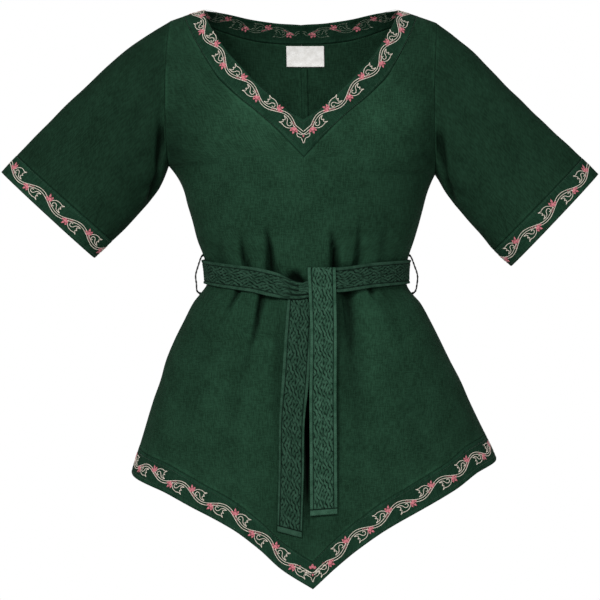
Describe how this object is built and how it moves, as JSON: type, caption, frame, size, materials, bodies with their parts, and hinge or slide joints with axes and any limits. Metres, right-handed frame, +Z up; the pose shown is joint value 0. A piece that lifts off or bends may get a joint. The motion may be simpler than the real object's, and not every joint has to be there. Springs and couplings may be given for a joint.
{
  "type": "viking tunic",
  "caption": "Short-sleeved V-neck tunic with a pointed hem, embroidered bands and a tied belt, hollow and filled out as worn.",
  "frame": {"origin": "middle of the neck opening, level with the shoulder seams, where the wearer's shoulders hold it", "axes": "+Z up, -Y out of the front, +X to the wearer's left, across the sleeves"},
  "size_m": [0.8853, 0.3395, 0.8431],
  "materials": {
    "tunic_cloth": "matt dark green woven cotton or linen with a faint streaky wash",
    "band_cloth": "the same dark green cloth under vine embroidery in cream and salmon thread",
    "belt_cloth": "greyer green cloth under tone-on-tone leaf embroidery",
    "label_weave": "smooth white woven label, blank",
    "loop_thread": "dark green twisted thread"
  },
  "bodies": {
    "root": {"front": "tunic_cloth", "back_left": "tunic_cloth", "back_right": "tunic_cloth", "sleeve_left": "tunic_cloth", "sleeve_right": "tunic_cloth", "neck_band_front": "band_cloth", "neck_band_back": "band_cloth", "hem_band_front": "band_cloth", "hem_band_back": "band_cloth", "cuff_band_left": "band_cloth", "cuff_band_right": "band_cloth", "belt_waist": "belt_cloth", "belt_knot": "belt_cloth", "belt_tail_right": "belt_cloth", "belt_tail_left": "belt_cloth", "neck_label": "label_weave", "belt_loop_left": "loop_thread", "belt_loop_right": "loop_thread"}
  },
  "joints": []
}
